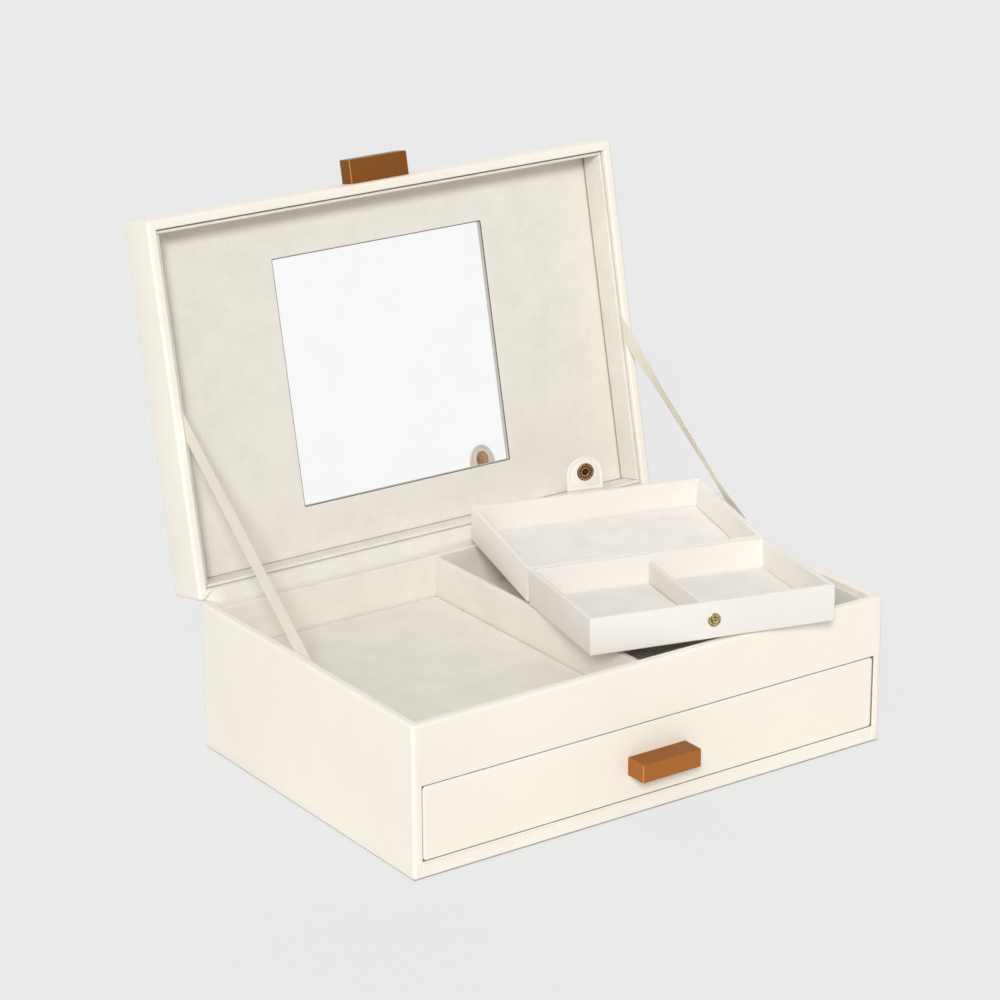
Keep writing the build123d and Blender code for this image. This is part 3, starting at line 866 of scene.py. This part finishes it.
def hinge_cover():
    """Suede band in the corner between the rims, from behind the base's liner to behind the lid's.
    Its two ends are drawn in towards the hinge, between the rims."""
    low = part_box("hinge_band")[0]
    lid_low, lid_high = local_box("hinge_band", LID_PLACE)
    base_y = low.y + BAND_THICK / 2
    lid_y = lid_low.y + BAND_THICK / 2
    base_end = Vector((0, base_y, low.z))
    base_corner = Vector((0, base_y, base_high.z + BAND_LIFT))
    lid_corner = LID_PLACE @ Vector((0, lid_y, lid_rim_z - BAND_LIFT))
    lid_end = LID_PLACE @ Vector((0, lid_y, lid_high.z))
    path = rounded_path([base_end, base_corner, lid_corner, lid_end], BAND_BEND)
    half = inner_half_x - BAND_CLEAR
    builder = strip(path, half, BAND_THICK, [SIDEWAYS] * len(path), BAND_COLUMNS)
    hinge = Vector((0, LID_HINGE.y, LID_HINGE.z))
    for vert in builder.verts:
        above = vert.co.z > base_high.z and (LID_PLACE.inverted() @ vert.co).z < lid_rim_z
        if above and abs(vert.co.x) > half - BAND_CLEAR:
            side = math.copysign(1.0, vert.co.x)
            tucked = Vector((0, vert.co.y, vert.co.z)).lerp(hinge, BAND_END_SHARE)
            vert.co = tucked + Vector((side * (inner_half_x + BAND_END_REACH), 0, 0))
    piece = make_object("hinge_band_cover", builder, "suede", None, ["hinge_band"], sharp=70)
    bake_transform(piece)
    return piece


def hinge_spine():
    """Leatherette joint along the back, glued to the outside of the base and of the lid."""
    out = base_high.y + SPINE_CLEAR + SPINE_THICK / 2
    base_end = Vector((0, out, base_high.z - SPINE_REACH))
    base_free = Vector((0, out, base_high.z - SPINE_FREE))
    lid_free = LID_PLACE @ Vector((0, out, lid_rim_z + SPINE_FREE))
    lid_end = LID_PLACE @ Vector((0, out, lid_rim_z + SPINE_REACH))
    path = [base_end.lerp(base_free, k / SPINE_STEPS) for k in range(SPINE_STEPS)] + [base_free, lid_free]
    path += [lid_free.lerp(lid_end, k / SPINE_STEPS) for k in range(1, SPINE_STEPS + 1)]
    half = base_high.x - UPRIGHT_ROUND
    builder = strip(path, half, SPINE_THICK, [SIDEWAYS] * len(path), SPINE_COLUMNS)
    piece = make_object("hinge_spine", builder, "ivory_leatherette", None, (), sharp=80)
    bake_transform(piece)
    return piece


hinge_cover()
hinge_spine()


# Travel case
CASE_EDGE, CASE_CORNER = 0.6 * MM, 0.9 * MM
CASE_PAD_CROWN = 0.15 * MM
CASE_HINGE_THICK, CASE_HINGE_COLUMNS = 0.3 * MM, 24


def tray(name, half, body, place):
    """Wrapped tray of one half: outer walls, rim, inner walls and floor in one skin."""
    wall_names = ("floor", "left_wall", "right_wall", "hinge_wall", "outer_wall")
    names = [f"case_{half}_{wall}" for wall in wall_names]
    low, high = local_box(names[0], place)
    rim = local_box(names[1], place)[1].z
    wall = local_box(names[1], place)[1].x - low.x
    bottom, floor = low.z, high.z
    half_x, half_y = (high.x - low.x) / 2, (high.y - low.y) / 2
    profile = slab_profile(bottom, rim, CASE_EDGE)
    profile += round_over(wall - CASE_EDGE, rim - CASE_EDGE, CASE_EDGE, 90, 180, 3)
    profile += [(wall, floor)]
    builder = wrapped(half_x, half_y, profile, CASE_CORNER, per_corner=4)
    lay = Matrix.Translation(((low.x + high.x) / 2, (low.y + high.y) / 2, 0))
    return make_object(name, builder, "case_leatherette", body, names, place @ lay)


tray("case_front_tray", "front", "case_base", CASE_FRONT_PLACE)
tray("case_rear_tray", "rear", "case_lid", CASE_REAR_PLACE)
soft_board("case_divider_wrap", "case_divider", "case_base", "case_leatherette", CASE_FRONT_PLACE)
soft_board(
    "case_rear_pad_suede", "case_rear_pad", "case_lid", "case_suede", CASE_REAR_PLACE, crown=CASE_PAD_CROWN
)


def joined(parts):
    """Several bmeshes as one."""
    whole = bmesh.new()
    for part in parts:
        mesh = bpy.data.meshes.new("joining")
        part.to_mesh(mesh)
        part.free()
        whole.from_mesh(mesh)
        bpy.data.meshes.remove(mesh)
    return whole


def case_front_pads():
    """The two floor pads of the front half."""
    low, high = local_box("case_front_pads", CASE_FRONT_PLACE)
    mid_low, mid_high = local_box("case_divider", CASE_FRONT_PLACE)
    gap = low.x - local_box("case_front_left_wall", CASE_FRONT_PLACE)[1].x
    profile = slab_profile(low.z, high.z, BOARD_EDGE)
    pads = []
    for x0, x1 in [(low.x, mid_low.x - gap), (mid_high.x + gap, high.x)]:
        half_x, half_y = (x1 - x0) / 2, (high.y - low.y) / 2
        pad = wrapped(half_x, half_y, profile, BOARD_EDGE)
        pad.transform(Matrix.Translation(((x0 + x1) / 2, (low.y + high.y) / 2, 0)))
        pads.append(pad)
    whole, replaced = joined(pads), ["case_front_pads"]
    piece = make_object(
        "case_front_pads_suede", whole, "case_suede", "case_base", replaced, CASE_FRONT_PLACE
    )
    return piece


case_front_pads()


def case_hinge_cover():
    """Thin strip folded down between the two hinge walls."""
    low, high = local_box("case_hinge_strip", CASE_FRONT_PLACE)
    half_x = (high.x - low.x) / 2
    middle_x = (low.x + high.x) / 2
    front = low.y + CASE_HINGE_THICK / 2
    top = high.z - CASE_HINGE_THICK / 2
    swing = CASE_FRONT_PLACE.inverted() @ CASE_REAR_PLACE
    points = [Vector((middle_x, front, low.z)), Vector((middle_x, front, top))]
    points += [swing @ Vector((middle_x, -front, top)), swing @ Vector((middle_x, -front, low.z))]
    path = rounded_path(points, CASE_HINGE_THICK)
    builder = strip(path, half_x, CASE_HINGE_THICK, [SIDEWAYS] * len(path), CASE_HINGE_COLUMNS)
    piece = make_object(
        "case_hinge_cover", builder, "case_leatherette", None, ["case_hinge_strip"], CASE_FRONT_PLACE
    )
    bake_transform(piece)
    return piece


case_hinge_cover()


# Snap tab and its fittings
TAB_EDGE, TAB_BORDER = 0.35 * MM, 1.5 * MM
CREASE_WIDTH, CREASE_DEPTH = 0.5 * MM, 0.16 * MM


def arch_loop(half, bottom, top, inset, per_arch=20):
    """Outline of a tab with a round top, anticlockwise seen from the front."""
    radius = half - inset
    centre = top - half
    loop = [(-radius, bottom + inset), (radius, bottom + inset)]
    for k in range(per_arch + 1):
        angle = math.pi * k / per_arch
        loop.append((radius * math.cos(angle), centre + radius * math.sin(angle)))
    return loop


def snap_strap():
    """Leather tab, creased round the edge on both faces."""
    low, high = local_box("snap_tab", TAB_PLACE)
    half = (high.x - low.x) / 2
    inner, deepest = TAB_BORDER + CREASE_WIDTH, TAB_BORDER + CREASE_WIDTH / 2
    levels = [(inner, low.y), (deepest, low.y + CREASE_DEPTH), (TAB_BORDER, low.y)]
    levels += [(TAB_EDGE, low.y), (0, low.y + TAB_EDGE), (0, high.y - TAB_EDGE), (TAB_EDGE, high.y)]
    levels += [(TAB_BORDER, high.y), (deepest, high.y - CREASE_DEPTH), (inner, high.y)]
    loops = []
    for inset, y in levels:
        loops.append([(x, y, z) for x, z in arch_loop(half, low.z, high.z, inset)])
    builder = loft(loops, True, True)
    return make_object("snap_tab_leather", builder, "case_leatherette", "tab", ["snap_tab"], TAB_PLACE)


snap_strap()
soft_board("snap_tab_foot", "snap_tab_root", "case_lid", "case_leatherette", CASE_REAR_PLACE)


# Radius, depth below the face (or height above it) in millimetres, and tarnish of the turned rings
SOCKET_FACE = [
    (0, 0.50, 0.75),
    (0.4, 0.60, 0.9),
    (0.65, 0.90, 1.0),
    (1.45, 0.90, 1.0),
    (1.75, 0.25, 0.6),
    (2.2, 0.05, 0.15),
    (2.5, 0.15, 0.7),
    (2.85, 0.30, 1.0),
    (3.2, 0.18, 0.5),
    (3.6, 0.00, 0.1),
    (4.0, 0.06, 0.4),
    (4.25, 0.22, 0.9),
    (4.4, 0.50, 1.0),
]
SOCKET_CAP = [
    (0, 0.42, 0.0),
    (2.2, 0.40, 0.0),
    (3.6, 0.30, 0.1),
    (4.3, 0.14, 0.4),
    (4.5, 0.00, 0.8),
    (4.3, -0.06, 1.0),
]
STUD_FACE = [
    (0, 0.85, 0.9),
    (0.4, 0.90, 0.8),
    (0.7, 1.22, 0.1),
    (1.1, 1.10, 0.0),
    (1.35, 0.75, 0.8),
    (1.3, 0.45, 1.0),
    (1.55, 0.28, 1.0),
    (1.95, 0.36, 0.15),
    (2.3, 0.40, 0.05),
    (2.6, 0.26, 0.8),
    (2.85, 0.30, 0.2),
    (3.1, 0.24, 0.3),
    (3.25, 0.10, 0.9),
    (3.25, 0.00, 1.0),
]
CAP_THICK = 0.5 * MM
SUNK_SHARE = 0.9  # of the socket's height above the tab


def turned_part(rows, sign, at):
    """A turned part whose axis lies along Y at a point; sign 1 faces the front, -1 the back."""
    part = lathe([(radius * MM, rise * MM, aged) for radius, rise, aged in rows])
    part.transform(Matrix.Translation(at) @ Matrix.Rotation(math.radians(90 * sign), 4, "X"))
    return part


def snap_fittings():
    """Brass socket on the tab, its cap behind, and the brass stud on the case's front wall."""
    low, high = local_box("snap_socket", TAB_PLACE)
    middle = (low + high) / 2
    proud = local_box("snap_tab", TAB_PLACE)[0].y - low.y
    deepest = max(depth for radius, depth, aged in SOCKET_FACE) * MM
    sunk = [(radius, -depth * proud / deepest * SUNK_SHARE, aged) for radius, depth, aged in SOCKET_FACE]
    face = turned_part(sunk, 1, (middle.x, low.y, middle.z))
    cap = turned_part(SOCKET_CAP, -1, (middle.x, high.y - CAP_THICK, middle.z))
    make_object("snap_socket_rings", joined([face, cap]), "antique_brass", "tab", ["snap_socket"], TAB_PLACE)

    low, high = local_box("snap_stud", CASE_FRONT_PLACE)
    middle = (low + high) / 2
    stud = turned_part(STUD_FACE, 1, (middle.x, high.y, middle.z))
    make_object("snap_stud_rings", stud, "pale_brass", "case_base", ["snap_stud"], CASE_FRONT_PLACE)


snap_fittings()

# Carried-over CAD nodes take the materials of their slots.
for entry in frame["record"]["subparts"]:
    node = nodes[entry["node"]]
    node.data.materials.clear()
    node.data.materials.append(MATERIALS[entry["material_slot"]])

# Stage
FLOOR_LEFT, FLOOR_RIGHT, FLOOR_FRONT, FLOOR_BACK = -4, 5, -1.6, 7
FLOOR_DROP = 0.3 * MM
FLOOR_PATCH = 0.4
FLOOR_SEEN = 0.715
FLOOR_SHADOWED = 0.11
FLOOR_PLAIN, FLOOR_PLAIN_LIGHT = 0.78, 1.02


def stage_floor():
    """Pale floor under and behind the object.
    What the camera sees of it is mostly even, with a faint shadow."""
    builder = bmesh.new()
    corners = [(FLOOR_LEFT, FLOOR_FRONT), (FLOOR_RIGHT, FLOOR_FRONT)]
    corners += [(FLOOR_RIGHT, FLOOR_BACK), (FLOOR_LEFT, FLOOR_BACK)]
    builder.faces.new([builder.verts.new((x, y, -FLOOR_DROP)) for x, y in corners])
    mesh = bpy.data.meshes.new("floor")
    builder.to_mesh(mesh)
    builder.free()
    floor = bpy.data.objects.new("floor", mesh)
    bpy.context.scene.collection.objects.link(floor)
    material, tree, shader, coords = new_material("floor")
    path = tree.nodes.new("ShaderNodeLightPath")
    seen = tree.nodes.new("ShaderNodeMath")
    seen.operation = "MAXIMUM"
    tree.links.new(path.outputs["Is Camera Ray"], seen.inputs[0])
    tree.links.new(path.outputs["Is Glossy Ray"], seen.inputs[1])
    patches = noise_node(tree, coords, FLOOR_PATCH)
    grey = shade(WHITE, FLOOR_PLAIN)
    plain = ramp(tree, patches, [(0.3, grey), (0.7, shade(grey, FLOOR_PLAIN_LIGHT))])
    shown = blend_colours(tree, seen.outputs["Value"], plain, (FLOOR_SHADOWED,) * 3)
    tree.links.new(shown, shader.inputs["Base Color"])
    shader.inputs["Roughness"].default_value = 1.0
    shader.inputs["Specular IOR Level"].default_value = 0.0
    shader.inputs["Emission Color"].default_value = (1, 1, 1, 1)
    glow = to_range(tree, seen.outputs["Value"], 0.0, FLOOR_SEEN)
    tree.links.new(glow, shader.inputs["Emission Strength"])
    mesh.materials.append(material)


def direction(azimuth, elevation):
    """Way out from the object; azimuth 0 is in front of the drawer, positive to the right."""
    flat = math.cos(elevation)
    return Vector((math.sin(azimuth) * flat, -math.cos(azimuth) * flat, math.sin(elevation)))


def soft_light(name, azimuth, elevation, strength, spread):
    """A far light from a direction. Angles are degrees."""
    data = bpy.data.lights.new(name, "SUN")
    data.energy = strength
    data.angle = math.radians(spread)
    light = bpy.data.objects.new(name, data)
    towards = direction(math.radians(azimuth), math.radians(elevation))
    light.rotation_mode = "QUATERNION"
    light.rotation_quaternion = towards.to_track_quat("Z", "Y")
    bpy.context.scene.collection.objects.link(light)


def studio_world(ambient, mirrored, backdrop):
    """Even white surround: how strongly it lights, and how bright mirrors and the camera see it."""
    world = bpy.data.worlds.new("studio")
    world.use_nodes = True
    tree = world.node_tree
    background = tree.nodes["Background"]
    path = tree.nodes.new("ShaderNodeLightPath")
    level = tree.nodes.new("ShaderNodeMapRange")
    level.inputs["To Min"].default_value = ambient
    level.inputs["To Max"].default_value = mirrored
    tree.links.new(path.outputs["Is Glossy Ray"], level.inputs["Value"])
    shown = tree.nodes.new("ShaderNodeMapRange")
    tree.links.new(level.outputs["Result"], shown.inputs["To Min"])
    shown.inputs["To Max"].default_value = backdrop
    tree.links.new(path.outputs["Is Camera Ray"], shown.inputs["Value"])
    tree.links.new(shown.outputs["Result"], background.inputs["Strength"])
    background.inputs["Color"].default_value = (1, 1, 1, 1)
    bpy.context.scene.world = world


stage_floor()
studio_world(ambient=0.46, mirrored=0.97, backdrop=0.825)
soft_light("key", azimuth=-37, elevation=31, strength=2.02, spread=15)
soft_light("left_fill", azimuth=-85, elevation=38, strength=0.3, spread=60)
soft_light("back_fill", azimuth=140, elevation=25, strength=0.7, spread=60)

# Camera, fitted to the photograph
AZIMUTH, ELEVATION, ROLL = math.radians(-34.788), math.radians(19.821), math.radians(-0.256)
DISTANCE = 1.41608
AIM = Vector((-0.13192, -0.15531, 0.19630))
LENS, SENSOR = 126.33, 36.0  # millimetres
CLIP_NEAR, CLIP_FAR = 0.05, 50.0


def photo_camera():
    """Looks at the aim from the fitted direction, turned by the photograph's slight roll."""
    back = direction(AZIMUTH, ELEVATION)
    level_right = (-back).cross(Vector((0, 0, 1))).normalized()
    level_up = level_right.cross(-back)
    right = level_right * math.cos(ROLL) + level_up * math.sin(ROLL)
    up = level_up * math.cos(ROLL) - level_right * math.sin(ROLL)
    data = bpy.data.cameras.new("camera")
    data.lens = LENS
    data.sensor_width = SENSOR
    data.clip_start, data.clip_end = CLIP_NEAR, CLIP_FAR
    camera = bpy.data.objects.new("camera", data)
    facing = Matrix((right, up, back)).transposed().to_4x4()
    camera.matrix_world = Matrix.Translation(AIM + back * DISTANCE) @ facing
    bpy.context.scene.collection.objects.link(camera)
    bpy.context.scene.camera = camera


photo_camera()
bpy.context.scene.view_settings.view_transform = "Standard"
